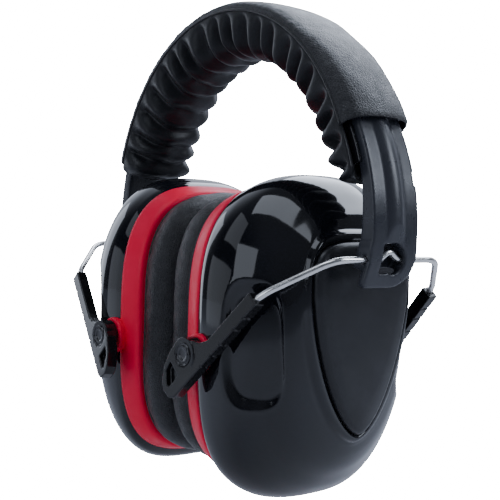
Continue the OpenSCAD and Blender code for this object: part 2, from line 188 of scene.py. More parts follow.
def oval(section, steps, inset=0.0):
    """A closed outline at x: (x, centre z, half width, up, down, upper power, lower power)."""
    x, centre, half, up, down, n_up, n_down = section
    ring = []
    for i in range(steps):
        a = math.tau * i / steps
        c, s = math.cos(a), math.sin(a)
        tall, power = (up, n_up) if s >= 0 else (down, n_down)
        blend = ease(abs(s) * 4)
        power = (n_up + n_down) / 2 * (1 - blend) + power * blend
        r = ((abs(c) / half) ** power + (abs(s) / tall) ** power) ** (-1 / power) - inset
        ring.append((x, r * c, CUP_Z + centre + r * s))
    return ring


def rim_ring_outline(x, inset, steps):
    """The red ring's outline at x, drawn in by the inset."""
    return oval((x, -1.5, 42.2, 52, 58.5, 2.9, 3.4), steps, inset)


# ---------------------------------------------------------------- materials


class Finish:
    """A node material that is put together step by step."""

    def __init__(self, name, colour, roughness, **sockets):
        self.material = bpy.data.materials.new(name)
        self.material.use_nodes = True
        self.nodes = self.material.node_tree.nodes
        self.links = self.material.node_tree.links
        self.shader = self.nodes["Principled BSDF"]
        self.shader.inputs["Base Color"].default_value = (*colour, 1)
        self.shader.inputs["Roughness"].default_value = roughness
        for socket, value in sockets.items():
            self.shader.inputs[socket.replace("_", " ")].default_value = value
        self.place = self.nodes.new("ShaderNodeTexCoord").outputs["Object"]
        self.normal = None

    def link(self, output, node_input):
        self.links.new(output, node_input)

    def stretched(self, scale):
        """Object coordinates with a scale of their own along each axis."""
        mapping = self.nodes.new("ShaderNodeMapping")
        mapping.inputs["Scale"].default_value = scale
        self.link(self.place, mapping.inputs["Vector"])
        return mapping.outputs["Vector"]

    def cloud(self, scale, detail=3.0, roughness=0.55, place=None):
        node = self.nodes.new("ShaderNodeTexNoise")
        node.inputs["Scale"].default_value = scale
        node.inputs["Detail"].default_value = detail
        node.inputs["Roughness"].default_value = roughness
        self.link(place or self.place, node.inputs["Vector"])
        return node.outputs["Fac"]

    def cells(self, scale, feature="F1", place=None):
        node = self.nodes.new("ShaderNodeTexVoronoi")
        node.feature = feature
        node.inputs["Scale"].default_value = scale
        self.link(place or self.place, node.inputs["Vector"])
        return node.outputs["Distance"]

    def ramp(self, value, low, high, start=0.0, end=1.0):
        """Takes value from start..end to low..high."""
        node = self.nodes.new("ShaderNodeMapRange")
        node.inputs["From Min"].default_value = start
        node.inputs["From Max"].default_value = end
        node.inputs["To Min"].default_value = low
        node.inputs["To Max"].default_value = high
        self.link(value, node.inputs["Value"])
        return node.outputs["Result"]

    def mixed(self, value, first, second):
        node = self.nodes.new("ShaderNodeMix")
        node.data_type = "RGBA"
        node.inputs["A"].default_value = (*first, 1)
        node.inputs["B"].default_value = (*second, 1)
        self.link(value, node.inputs["Factor"])
        return node.outputs["Result"]

    def bump(self, height, distance, strength=1.0, invert=False):
        node = self.nodes.new("ShaderNodeBump")
        node.inputs["Distance"].default_value = distance * MM
        node.inputs["Strength"].default_value = strength
        node.invert = invert
        self.link(height, node.inputs["Height"])
        if self.normal:
            self.link(self.normal, node.inputs["Normal"])
        self.normal = node.outputs["Normal"]
        self.link(self.normal, self.shader.inputs["Normal"])

    def vary_roughness(self, value, low, high):
        self.link(self.ramp(value, low, high, 0.3, 0.7), self.shader.inputs["Roughness"])

    def colour(self, value, first, second):
        self.link(self.mixed(value, first, second), self.shader.inputs["Base Color"])


def gloss_moulding(name, dark, light, roughness, skin=0.35, shine=0.5):
    """Polished moulded plastic: faint flow marks, fine dust haze and a clear skin."""
    finish = Finish(
        name, dark, roughness, Coat_Weight=skin, Coat_Roughness=0.04, Specular_IOR_Level=shine
    )
    finish.colour(finish.ramp(finish.cloud(26, 2), 0, 1, 0.35, 0.7), dark, light)
    finish.vary_roughness(finish.cloud(90, 4), roughness * 0.75, roughness * 1.3)
    finish.bump(finish.cloud(34, 1), 0.05, 0.25)
    return finish.material


def satin_moulding(name, dark, light, roughness, grain=0.45, depth=0.05):
    """Spark-eroded plastic: a fine even grain over slow flow marks. Grain is its pitch in millimetres."""
    finish = Finish(name, dark, roughness)
    finish.colour(finish.ramp(finish.cloud(40, 3), 0, 1, 0.35, 0.7), dark, light)
    finish.vary_roughness(finish.cloud(120, 3), roughness - 0.05, roughness + 0.07)
    finish.bump(finish.cloud(1000 / grain, 2), depth, 0.5)
    return finish.material


def leatherette(name, dark, light, roughness, pebble=0.9, depth=0.16, crease_depth=0.3, shine=0.5):
    """Coated cloth: rounded pebbles over soft creases, with painted shade darkening the valleys between the
    pebbles. The pebbles' size is in millimetres.
    """
    finish = Finish(
        name, dark, roughness, Sheen_Weight=0.05, Sheen_Roughness=0.5, Specular_IOR_Level=shine
    )
    warped = finish.nodes.new("ShaderNodeVectorMath")
    warped.operation = "MULTIPLY_ADD"
    drift = finish.nodes.new("ShaderNodeTexNoise")
    drift.inputs["Scale"].default_value = 700 / pebble
    finish.link(finish.place, drift.inputs["Vector"])
    finish.link(drift.outputs["Color"], warped.inputs[0])
    warped.inputs[1].default_value = (pebble * 0.9 * MM,) * 3
    finish.link(finish.place, warped.inputs[2])
    pebbles = finish.cells(1000 / pebble, "DISTANCE_TO_EDGE", warped.outputs["Vector"])
    rounded = finish.ramp(pebbles, 0, 1, 0.0, 0.25)
    # Painted shade: the colour runs from dark in the valleys between the pebbles to light on their tops.
    painted_valley_shade = finish.ramp(rounded, 0, 1, 0.0, 0.9)
    finish.colour(painted_valley_shade, dark, light)
    finish.vary_roughness(finish.cloud(220, 3), roughness - 0.06, roughness + 0.08)
    finish.bump(finish.cloud(150, 4, 0.6, finish.stretched((1, 2.4, 1))), crease_depth, 0.5)
    finish.bump(rounded, depth, 0.8)
    finish.bump(finish.cloud(2600, 2), 0.03, 0.5)
    return finish.material


def polished_steel(name, colour, roughness, scale):
    """Drawn steel: bright, with fine lines and light wear."""
    finish = Finish(name, colour, roughness, Metallic=1.0)
    finish.vary_roughness(finish.cloud(400, 4), roughness * 0.7, roughness * 1.5)
    worn = tuple(c * 0.82 for c in colour)
    finish.colour(finish.ramp(finish.cloud(160, 3), 0, 1, 0.35, 0.75), colour, worn)
    finish.bump(finish.cloud(900, 2, 0.5, finish.stretched(scale)), 0.015, 0.4)
    return finish.material


def open_foam(name, dark, light):
    """Open-cell foam: small pits of two sizes, with painted shade darkening the larger pits."""
    finish = Finish(name, dark, 0.95)
    pits = finish.cells(1000 / 1.1)
    # Painted shade: the colour is darker towards the middle of each larger pit.
    finish.colour(finish.ramp(pits, 0, 1, 0.1, 0.6), dark, light)
    finish.bump(pits, 0.5, 0.8)
    finish.bump(finish.cells(1000 / 0.5), 0.2, 0.6)
    return finish.material


SHELL_BLACK = gloss_moulding("shell_black", (0.0045, 0.0048, 0.0062), (0.0065, 0.0075, 0.0115), 0.07)
PANEL_BLACK = satin_moulding(
    "panel_black", (0.011, 0.0115, 0.014), (0.0155, 0.0165, 0.02), 0.33, 0.4, 0.012
)
RIM_RED = gloss_moulding("rim_red", (1.0, 0.0, 0.05), (1.0, 0.002, 0.062), 0.42, 0.04, 0.2)
ARM_BLACK = satin_moulding("arm_black", (0.03, 0.0325, 0.041), (0.039, 0.042, 0.052), 0.29, 0.6, 0.012)
LEVER_BLACK = satin_moulding(
    "lever_black", (0.006, 0.006, 0.007), (0.01, 0.01, 0.012), 0.16, 0.8, 0.015
)
PIN_BLACK = gloss_moulding("pin_black", (0.007, 0.007, 0.009), (0.011, 0.011, 0.013), 0.14)
BAND_BLACK = gloss_moulding("band_black", (0.008, 0.008, 0.01), (0.013, 0.013, 0.016), 0.12)
PLATE_BLACK = satin_moulding("plate_black", (0.011, 0.011, 0.013), (0.017, 0.017, 0.02), 0.4)
COVER_LEATHER = leatherette(
    "cover_leather", (0.0085, 0.009, 0.0115), (0.0135, 0.0145, 0.018), 0.42, 0.95, 0.13, 0.2
)
PAD_LEATHER = leatherette(
    "pad_leather", (0.0045, 0.005, 0.0068), (0.0085, 0.0092, 0.012), 0.36, 0.9, 0.03, 0.06, 0.32
)
CUSHION_LEATHER = leatherette(
    "cushion_leather", (0.0065, 0.0068, 0.0082), (0.013, 0.0135, 0.0155), 0.38, 0.8, 0.2, 0.4
)
PIPING_LEATHER = leatherette(
    "piping_leather", (0.006, 0.0063, 0.008), (0.01, 0.0105, 0.013), 0.36, 0.7, 0.08, 0.1
)
WIRE_STEEL = polished_steel("wire_steel", (0.95, 0.94, 0.92), 0.2, (1, 6, 1))
GUIDE_STEEL = polished_steel("guide_steel", (0.5, 0.51, 0.53), 0.3, (6, 1, 6))
STRIP_STEEL = polished_steel("strip_steel", (0.55, 0.56, 0.58), 0.34, (1, 6, 1))
RIVET_STEEL = polished_steel("rivet_steel", (0.7, 0.7, 0.71), 0.24, (2, 2, 2))
FOAM_GREY = open_foam("foam_grey", (0.018, 0.018, 0.02), (0.045, 0.045, 0.05))

# ---------------------------------------------------------------- cups

# The shell from the rim outwards, each as (depth, centre's height, half width, up, down, upper power,
# lower power)
SHELL_SECTIONS = [
    (0, -1.5, 41.8, 51.6, 58.1, 2.9, 3.4),
    (3, -1.5, 42.6, 53.4, 62, 2.8, 3.3),
    (9, -1.5, 43, 55.2, 64, 2.7, 3.0),
    (16, -1.5, 42.4, 55.2, 62.6, 2.6, 2.7),
    (22, -1.5, 40.4, 53, 58.8, 2.5, 2.4),
    (27, -1, 37, 48.6, 54.4, 2.5, 2.2),
    (31, 0, 33.4, 43, 51, 2.6, 2.1),
    (33.6, 2, 30.8, 37.4, 48.6, 2.8, 2),
    (35, 6, 28.8, 30, 48.6, 3.2, 1.9),
]


def at_depth(section):
    """The section with its depth turned into a place along X."""
    return (RIM_X + section[0], *section[1:])


def smooth_sections(sections, fineness):
    """The sections with smooth ones between them."""
    tracks = [smooth_curve([(s[0], s[k], 0) for s in sections], fineness) for k in range(1, 7)]
    return [(tracks[0][i].x, *[track[i].y for track in tracks]) for i in range(len(tracks[0]))]


def leaned(ring):
    """The cup's face leans back a little towards the wearer's rear."""
    t = min(max((ring[0][0] - RIM_X - 27) / 8, 0), 1)
    return [(x - 0.09 * t * y, y + 2 * t, z) for x, y, z in ring]


def lever_pocket(point):
    """The shell is scooped in a little beside each lever."""
    x, y, z = point
    across = (x - RIM_X - 24.5) / 9
    along = (z - CUP_Z + 6) / 21
    reach = (abs(across) ** 3 + abs(along) ** 3) ** (1 / 3)
    scoop = 2.4 * ease((1.12 - reach) / 0.3) if abs(y) > 20 else 0
    return (x, y - math.copysign(scoop, y), z)


def cup_shell(side):
    """The glossy bowl, with the plinth that carries the panel."""
    steps = 200
    bowl = [leaned(oval(at_depth(s), steps)) for s in smooth_sections(SHELL_SECTIONS, 8)]
    rings = [[lever_pocket(point) for point in ring] for ring in bowl]
    plinth = [
        (35.25, 8, 28.5, 27.2, 50.2, 3.4, 1.85), (35.4, 9.4, 28.1, 25.2, 51, 3.6, 1.8),
        (35.6, 10, 27.9, 24.4, 51.2, 3.6, 1.8), (36.4, 10.6, 27.7, 23.2, 51.6, 3.6, 1.76),
        (37, 11.2, 27.4, 22, 51.8, 3.6, 1.73), (37.35, 11.7, 27.1, 20.9, 51.9, 3.6, 1.71),
        (37.5, 12.2, 26.6, 19.9, 51.8, 3.6, 1.7), (37.5, 14, 25.9, 17, 53.3, 3.5, 1.65),
        (37.35, 14.6, 25.6, 16, 53.6, 3.4, 1.63), (36.6, 15, 25.4, 15.4, 53.5, 3.4, 1.62),
        (36.5, 15, 24.6, 14.6, 52.7, 3.4, 1.62),
    ]
    rings += [leaned(oval(at_depth(s), steps)) for s in plinth]
    bm = loft(rings)
    finish_mesh(
        f"{side}_cup_shell_moulding", bm, SHELL_BLACK, f"{side}_cup", (f"{side}_cup_shell",),
        crease=50, mirror=side == "right",
    )


def shell_panel(side):
    """The satin plate on the plinth."""
    steps = 160
    sections = [
        (36.7, 15, 25, 15.1, 53.1, 3.4, 1.62), (37.6, 15, 25.05, 15.2, 53.2, 3.4, 1.62),
        (38.3, 15, 24.85, 15, 53, 3.4, 1.61), (38.95, 15, 24.4, 14.6, 52.5, 3.4, 1.6),
        (39.5, 15, 23.7, 13.9, 51.7, 3.35, 1.6), (39.9, 15, 22.6, 13, 50.6, 3.3, 1.6),
        (40.2, 15, 18, 10, 41, 3.1, 1.65), (40.3, 14, 12, 7, 28, 2.8, 1.7), (40.35, 12, 5, 4, 12, 2.4, 1.9),
    ]
    bm = loft([leaned(oval(at_depth(s), steps)) for s in sections])
    finish_mesh(
        f"{side}_shell_panel_plate", bm, PANEL_BLACK, f"{side}_cup",
        (f"{side}_shell_panel",), crease=60, mirror=side == "right",
    )


def boss(bm, front):
    """The round boss that a lever's pin turns in."""
    made = bmesh.ops.create_cone(bm, cap_ends=True, segments=56, radius1=7, radius2=7, depth=7)["verts"]
    rims = {e for v in made for e in v.link_edges if not any(abs(a.co.z - b.co.z) > 1 for a, b in [e.verts])}
    bmesh.ops.bevel(bm, geom=list(rims), offset=0.8, segments=4, profile=0.5, affect="EDGES", material=-1)
    moved = [v for v in bm.verts if v.co.x ** 2 + v.co.y ** 2 < 64 and abs(v.co.z) < 4]
    bmesh.ops.rotate(bm, verts=moved, matrix=Matrix.Rotation(math.pi / 2, 3, "X"))
    bmesh.ops.translate(bm, verts=moved, vec=(PIN_X, (3.5 - 44.4) * front, PIN_Z))


def rim_ring(side):
    """The red ring between shell and cushion, with its two bosses."""
    steps = 192
    profile = [
        (0, 4.2), (0.05, 3.5), (0.35, 2.9), (0.9, 2.45), (2, 1.95), (3.6, 1.45), (5.4, 0.95), (7.2, 0.5),
        (8.6, 0.2), (9.4, 0.15), (9.85, 0.35), (10.05, 0.75), (10.1, 1.4), (10.1, 2.8), (8, 3.2),
        (3, 4.8), (2.6, 12), (0, 12),
    ]
    rings = [rim_ring_outline(RING_X + x, inset, steps) for x, inset in profile]
    bm = loft(rings, loop=True)
    for front in (1, -1):
        boss(bm, front)
    finish_mesh(
        f"{side}_rim_ring_moulding", bm, RIM_RED, f"{side}_cup", (f"{side}_rim_ring",),
        crease=40, mirror=side == "right",
    )


# The cushion's section as (depth beyond the face, inset from the rim's outline)
CUSHION_SECTION = [
    (13.4, 5), (12.4, 3.9), (10.4, 3.4), (7.6, 3.1), (4.8, 3.6), (2.4, 5), (0.8, 7.4), (0.1, 10), (0, 12.5),
    (0.3, 15.2), (1.5, 17.7), (3.8, 19.4), (7.4, 20.2), (11, 20.2), (13.4, 19.8),
]


def cushion_rings(steps):
    """The cushion's rings, with shallow gathers that fade towards the middle of each wall."""
    rings = []
    for x, inset, _ in smooth_curve([(p[0], p[1], 0) for p in CUSHION_SECTION], 3):
        ring = rim_ring_outline(FACE_X + x, inset, steps)
        gathered = []
        for px, py, pz in ring:
            fold = noise.noise(Vector((px * 0.1, py * 0.2, pz * 0.2))) * 0.5
            fold += noise.noise(Vector((px * 0.06, py * 0.55, pz * 0.55))) * 0.35 * ease((x - 6) / 6)
            sink = 0.4 * ease((x - 9) / 4) * (0.5 + 0.5 * math.sin(py * 0.9 + pz * 1.1))
            centre = Vector((0, py, pz - CUP_Z)).normalized()
            away = fold - sink if inset < 12 else sink - fold
            gathered.append((px + 0.25 * fold, py + centre.y * away, pz + centre.z * away))
        rings.append(gathered)
    return rings


def swell(piece, held, pressure, frames, most):
    """Blows a soft piece up with cloth, held where held(point) is true. No point moves more than most."""
    big = 10  # the cloth solver is steadier on a piece that is not so small
    scene = bpy.context.scene
    start = [v.co.copy() for v in piece.data.vertices]
    pins = piece.vertex_groups.new(name="held")
    pins.add([i for i, co in enumerate(start) if held(co / MM)], 1.0, "REPLACE")
    for vert, co in zip(piece.data.vertices, start):
        vert.co = co * big
    cloth = piece.modifiers.new("cloth", "CLOTH")
    cloth.settings.quality = 4
    cloth.settings.mass = 0.3
    cloth.settings.tension_stiffness = cloth.settings.compression_stiffness = 20
    cloth.settings.bending_stiffness = 0.4
    cloth.settings.use_pressure = True
    cloth.settings.uniform_pressure_force = pressure
    cloth.settings.vertex_group_mass = "held"
    cloth.settings.effector_weights.gravity = 0
    cloth.collision_settings.use_collision = False
    cloth.point_cache.frame_start, cloth.point_cache.frame_end = 1, frames
    for number in range(1, frames + 1):
        scene.frame_set(number)
    graph = bpy.context.evaluated_depsgraph_get()
    blown = [v.co / big for v in piece.evaluated_get(graph).data.vertices]
    piece.modifiers.remove(cloth)
    piece.vertex_groups.remove(pins)
    for vert, old, new in zip(piece.data.vertices, start, blown):
        move = new - old
        vert.co = old + move * min(1.0, most * MM / max(move.length, 1e-9))
    scene.frame_set(1)


def ear_cushion(side):
    """The cushion, held along its plate and blown up, then pressed flat where it seals."""
    bm = loft(cushion_rings(168), loop=True)
    piece = finish_mesh(
        f"{side}_ear_cushion", bm, CUSHION_LEATHER, f"{side}_cup",
        (f"{side}_cushion_cover", f"{side}_cushion_foam"), levels=1, mirror=side == "right",
    )
    swell(piece, lambda p: abs(p.x) > PLATE_X - 1.4, 9.0, 8, 1.6)
    flat = (FACE_X - 0.2) * MM
    for vert in piece.data.vertices:
        if abs(vert.co.x) < flat:
            vert.co.x = math.copysign(flat, vert.co.x)


def piping(name, path, radius, material, body, steps=12):
    """A round cord laid along a path of points."""
    finish_mesh(name, tube(path, radius, steps), material, body)


def tube(path, radius, steps):
    """A round bar along a path, with flat ends."""
    rings = []
    side = None
    for i, point in enumerate(path):
        ahead = (path[min(i + 1, len(path) - 1)] - path[max(i - 1, 0)]).normalized()
        if side is None:
            side = ahead.orthogonal().normalized()
        side = (side - ahead * side.dot(ahead)).normalized()
        other = ahead.cross(side)
        rings.append([
            point + (side * math.cos(a) + other * math.sin(a)) * radius
            for a in (math.tau * k / steps for k in range(steps))
        ])
    return loft(rings)


def cushion_seam(side):
    """The welded edge where the cushion's cover is trapped on its plate."""
    outline = [Vector(p) for p in rim_ring_outline(PLATE_X - 0.35, 4.6, 168)]
    if side == "right":
        outline = [Vector((-p.x, p.y, p.z)) for p in outline]
    across = Vector((1, 0, 0))
    rings = []
    for i, point in enumerate(outline):
        ahead = (outline[(i + 1) % len(outline)] - outline[i - 1]).normalized()
        out = ahead.cross(across)
        rings.append([
            point + (across * math.cos(a) + out * math.sin(a)) * 0.55
            for a in (math.tau * k / 10 for k in range(10))
        ])
    finish_mesh(
        f"{side}_cushion_seam", loft(rings, loop=True), PIPING_LEATHER, f"{side}_cup"
    )


def cups():
    for side in SIDES:
        cup_shell(side)
        shell_panel(side)
        rim_ring(side)
        ear_cushion(side)
        cushion_seam(side)
        softened(f"{side}_foam_disc", f"{side}_foam_disc_sheet", FOAM_GREY, f"{side}_cup", 0.8, 3)
        softened(
            f"{side}_cushion_plate", f"{side}_cushion_plate_moulding", PLATE_BLACK, f"{side}_cup",
            0.3,
        )


# ---------------------------------------------------------------- bails


def rounded_route(corners, radius, fineness=8):
    """A path through corners, with each one but the ends turned to an arc."""
    path = [Vector(corners[0])]
    for before, corner, after in zip(corners, corners[1:], corners[2:]):
        corner = Vector(corner)
        back, ahead = (Vector(before) - corner), (Vector(after) - corner)
        reach = min(radius, back.length * 0.48, ahead.length * 0.48)
        a, b = corner + back.normalized() * reach, corner + ahead.normalized() * reach
        for i in range(fineness + 1):
            t = i / fineness
            path.append(a * (1 - t) ** 2 + corner * 2 * t * (1 - t) + b * t * t)
    path.append(Vector(corners[-1]))
    return path


def lever_point(u):
    """A place along the lever's bar, u from its pin."""
    lean, turn, bar = math.radians(8), math.radians(45), -6.5
    along, out = u * math.cos(lean), u * math.sin(lean)
    return (
        PIN_X + along * math.cos(turn) - bar * math.sin(turn),
        -47.65 + out,
        PIN_Z + along * math.sin(turn) + bar * math.cos(turn),
    )


def bail_wire(side):
    """The steel wire from lever to lever, with its kink in the arm's window."""
    half, kink, rise = 24.5, 4.2, 3.4
    front = [
        lever_point(24.6), lever_point(39), (BAIL_X, -half, BAIL_Z), (BAIL_X, -kink, BAIL_Z),
        (BAIL_X + 0.6, 0, BAIL_Z + rise),
    ]
    rear = [(x, -y, z) for x, y, z in reversed(front[:-1])]
    path = rounded_route(front + rear, 5.5)
    bm = tube(path, 1.2, 28)
    finish_mesh(
        f"{side}_bail_wire_rod", bm, WIRE_STEEL, f"{side}_bail", (f"{side}_bail_wire",),
        crease=50, mirror=side == "right",
    )


def lever_pins(side):
    """Two headed pins. A ring is pressed into each head."""
    bm = bmesh.new()
    head = 49.75
    profile = [
        (0, -0.35), (1.5, -0.35), (1.9, -0.3), (2.1, -0.05), (2.35, 0), (2.9, 0), (3.1, -0.3),
        (3.4, -0.35), (3.7, -0.2), (3.9, 0.1), (4.05, 0.1), (4.2, -0.1), (4.2, -1), (2.5, -1),
        (2.5, -9.8), (0, -10),
    ]
    start = [bm.verts.new((0, -(head + 0.3 + h), r)) for r, h in profile]
    edges = [bm.edges.new(pair) for pair in zip(start, start[1:])]
    bmesh.ops.spin(
        bm, geom=start + edges, cent=(0, 0, 0), axis=(0, 1, 0), angle=math.tau, steps=48, use_merge=True
    )
    bmesh.ops.translate(bm, verts=bm.verts, vec=(PIN_X, 0, PIN_Z))
    rear = bmesh.ops.duplicate(bm, geom=bm.verts[:] + bm.edges[:] + bm.faces[:])["geom"]
    rear_verts = [item for item in rear if isinstance(item, bmesh.types.BMVert)]
    bmesh.ops.scale(bm, vec=(1, -1, 1), verts=rear_verts)
    finish_mesh(
        f"{side}_lever_pin_pair", bm, PIN_BLACK, f"{side}_bail", (f"{side}_lever_pins",),
        crease=50, mirror=side == "right",
    )


def bails():
    for side in SIDES:
        bail_wire(side)
        lever_pins(side)
        for end in ("front", "rear"):
            moulded(
                f"{side}_{end}_lever", f"{side}_{end}_lever_moulding", LEVER_BLACK, f"{side}_bail",
                0.24, 3,
            )


# ---------------------------------------------------------------- headband

BAND_HALF = 15.5
LEFT_COVER, RIGHT_COVER = 27.5, 20.0  # angles of the cover's two ends above the arch's centre line
SEAM = -1.7  # height of the seam above the arch's edge
PAD_LEFT, PAD_RIGHT = 13.4, 16.6  # angles of the pad's two ends
PAD_DEPTH = 10.3


def edge_r(angle):
    """The arch's edge is an ellipse about the band's centre."""
    c, s = math.cos(math.radians(angle)), math.sin(math.radians(angle))
    return 1 / math.sqrt((c / 77.8) ** 2 + (s / 85.4) ** 2)


def arch_point(angle, radius, y):
    """A place on the band, angle degrees up from the wearer's left."""
    c, s = math.cos(math.radians(angle)), math.sin(math.radians(angle))
    return (radius * c, y, ARC_Z + radius * s)


def cover_rise(angle):
    """Height of the cover's middle above the arch's edge."""
    side = min(angle, 180 - angle)
    return 2.8 + 3.0 * min(max((58 - side) / 29, 0), 1)


def cover_section(angle, thick):
    """The cover's section as (y, height), drawn in by a thickness."""
    h = cover_rise(angle)
    half = [
        (BAND_HALF - thick * 0.9, SEAM - 0.1), (15.5 - thick, SEAM + 0.5), (15.35 - thick, SEAM + 1.1),
        (14.9 - thick, 0.16 * h - 0.3 * thick), (13.6 - thick * 0.8, 0.45 * h - 0.7 * thick),
        (11.3 - 0.3 * thick, 0.75 * h - thick), (6, 0.95 * h - thick), (0, h - thick),
    ]
    return half + [(-y, height) for y, height in reversed(half[:-1])]


def outer_cover():
    """The grained sheet over the arch, with rolled ends and a little pucker near its seams."""
    stations = 260
    rings = []
    for i in range(stations + 1):
        angle = LEFT_COVER + (180 - LEFT_COVER - RIGHT_COVER) * i / stations
        end = min(i, stations - i) / stations * 180
        roll = 0.35 * (1 - ease(end / 0.7))
        outer = smooth_curve([(y, h, 0) for y, h in cover_section(angle, roll)], 4)
        inner = smooth_curve([(y, h, 0) for y, h in cover_section(angle, 1.2 - roll)], 4)
        section = [(p.x, p.y) for p in outer] + [(p.x, p.y) for p in reversed(inner)]
        ring = []
        for y, height in section:
            near_seam = ease((abs(y) - 11) / 4)
            pucker = noise.noise(Vector((angle * 0.55, y * 0.35, 3))) * 0.35 * near_seam
            pucker += noise.noise(Vector((angle * 0.12, y * 0.12, 9))) * 0.3
            settled = ease(end / 6)
            ring.append(arch_point(angle, edge_r(angle) + height + pucker * settled, y))
        rings.append(ring)
    finish_mesh(
        "outer_cover_leather", loft(rings), COVER_LEATHER, "headband", ("outer_cover",),
        crease=50,
    )


def pleat_places(seed):
    """Angles of the pad's sewn valleys, a little uneven."""
    dice = random.Random(seed)
    places, angle = [], PAD_LEFT - 3.0
    while angle < 186 - PAD_RIGHT:
        places.append(angle)
        angle += 7.6 * dice.uniform(0.8, 1.2)
    return places


PLEATS = pleat_places(7)


def pleat_height(angle, y):
    """0 in a valley to 1 on the crown of a fold, along the pad."""
    shifted = angle + 0.5 * math.sin(y * 0.23 + angle * 0.31)
    for low, high in zip(PLEATS, PLEATS[1:]):
        if low <= shifted < high:
            t = (shifted - low) / (high - low)
            return (0.5 - 0.5 * math.cos(math.tau * t)) ** 0.62
    return 1.0


def pad_section(angle):
    """The pad's section as (y, radius), and the radius of its top edge."""
    side = min(angle, 180 - angle)
    edge = edge_r(angle) - PAD_DEPTH
    full = edge_r(90) - PAD_DEPTH - 66
    grow = ease((side - 14) / 20)
    bulge = full * (0.45 + 0.55 * grow)
    covered = ease((angle - LEFT_COVER + 2) / 2) * ease((180 - RIGHT_COVER - angle + 2) / 2)
    top = 77.4 + (edge_r(angle) + SEAM - 77.5) * covered
    wall = [(15.5, top), (15.6, top - 0.25 * (top - edge)), (15.6, edge + 2.6), (15.2, edge + 0.4)]
    face = [(y, edge - bulge * math.sqrt(1 - (y / 15) ** 2.4)) for y in (14.4, 12.8, 10.2, 7, 3.5)]
    half = wall + face
    whole = half + [(0, edge - bulge)] + [(-y, r) for y, r in reversed(half)]
    return whole, top


def head_pad_rings(stations):
    """The gathered pad: sections along the arch, tucked at each sewn valley and shut at both ends."""
    middle, band_r = 72.2, 72.4
    rings = []
    for i in range(stations + 1):
        angle = PAD_LEFT + (180 - PAD_LEFT - PAD_RIGHT) * i / stations
        whole, top = pad_section(angle)
        line = [(p.x, p.y) for p in smooth_curve([(y, r, 0) for y, r in whole], 3)]
        from_end = min(i, stations - i) / stations * 150 * math.radians(1) * 70
        shut = math.sqrt(max(0.0, 1 - (1 - min(from_end / 4.0, 1)) ** 2))
        tall, wide = max(shut, 0.12), 0.72 + 0.28 * shut
        ring = []
        for y, radius in line:
            low = edge_r(angle) - PAD_DEPTH
            on_face = ease((low + 1.5 - radius) / 3)
            corner = math.exp(-((abs(y) - 14.5) / 2.5) ** 2)
            seam = ease((top - radius) / 6)
            fold = pleat_height(angle, y)
            tuck = (1 - fold) * (2.0 * on_face + 3.2 * corner * seam)
            wobble = noise.noise(Vector((angle * 0.25, y * 0.12, 1))) * 0.9 * seam
            width = 1 - 0.19 * (1 - fold) * ease((top - radius - 1) / 7) + 0.014 * seam
            r = radius + tuck + wobble
            ring.append(arch_point(angle, middle + (r - middle) * tall, y * width * wide))
        shelf = [(-12.2, top - 0.1), (-12.1, band_r), (0, band_r), (12.1, band_r), (12.2, top - 0.1)]
        ring += [arch_point(angle, middle + (r - middle) * tall, y * wide) for y, r in shelf]
        rings.append(ring)
    return rings


def pad_is_held(point):
    """True in the valleys, along the seams and on the side that lies on the band."""
    x, z = abs(point.x), point.z - ARC_Z
    radius = math.hypot(x, z)
    angle = math.degrees(math.atan2(z, point.x))
    on_band = radius > edge_r(angle) - 5
    return on_band or pleat_height(angle, point.y) < 0.45


def head_pad():
    """The gathered pad, blown up between its valleys."""
    piece = finish_mesh(
        "head_pad_leather", loft(head_pad_rings(360)), PAD_LEATHER, "headband",
        ("head_pad", "crown_foam"), levels=1,
    )
    swell(piece, pad_is_held, 7.0, 8, 1.5)


def band_piping():
    """The cord sewn into the seam between the cover and the pad."""
    for name, front in (("front_band_piping", -1), ("rear_band_piping", 1)):
        path = []
        for i in range(241):
            angle = RIGHT_COVER + (180 - LEFT_COVER - RIGHT_COVER) * i / 240
            turned = 180 - angle
            path.append(Vector(arch_point(turned, edge_r(turned) + SEAM - 0.2, 15.5 * front)))
        piping(name, path, 0.42, PIPING_LEATHER, "headband")


def headband():
    outer_cover()
    head_pad()
    band_piping()
    moulded("inner_band", "inner_band_moulding", BAND_BLACK, "headband", 0.42, 5)
    for side in SIDES:
        softened(
            f"{side}_arm_guide", f"{side}_arm_guide_pressing", GUIDE_STEEL, "headband", 0.2
        )
    softened("spring_strip", "spring_strip_pressing", STRIP_STEEL, "headband", 0.2)
    softened("band_rivets", "band_rivet_heads", RIVET_STEEL, "headband", 0.2)


def arms():
    for side in SIDES:
        moulded(f"{side}_arm", f"{side}_arm_moulding", ARM_BLACK, f"{side}_arm", 0.34, 26)


def finish_hidden_nodes():
    """The foam linings inside the cups keep their CAD shape."""
    for side in SIDES:
        mesh = frame["nodes"][f"{side}_foam_insert"].data
        mesh.materials.clear()
        mesh.materials.append(FOAM_GREY)


# ---------------------------------------------------------------- camera, light and floor


def aim_camera():
    """Looks at the near cup from the wearer's front left, a little above its middle."""
    turn, rise, roll = math.radians(51.56), math.radians(1.84), math.radians(1.54)
    back = Vector((math.sin(turn) * math.cos(rise), -math.cos(turn) * math.cos(rise), math.sin(rise)))
    right = Vector((math.cos(turn), math.sin(turn), 0))
    up = back.cross(right)
    rolled_right = right * math.cos(roll) + up * math.sin(roll)
    rolled_up = up * math.cos(roll) - right * math.sin(roll)
    data = bpy.data.cameras.new("camera")
    data.lens = 69.08
    data.sensor_width = 36
    data.clip_start, data.clip_end = 0.02, 20
    camera = bpy.data.objects.new("camera", data)
    place = Matrix((rolled_right, rolled_up, back)).transposed().to_4x4()
    place.translation = (0.30349, -0.23893, ARC_Z * MM + 0.00301)
    camera.matrix_world = place
    bpy.context.scene.collection.objects.link(camera)
    bpy.context.scene.camera = camera


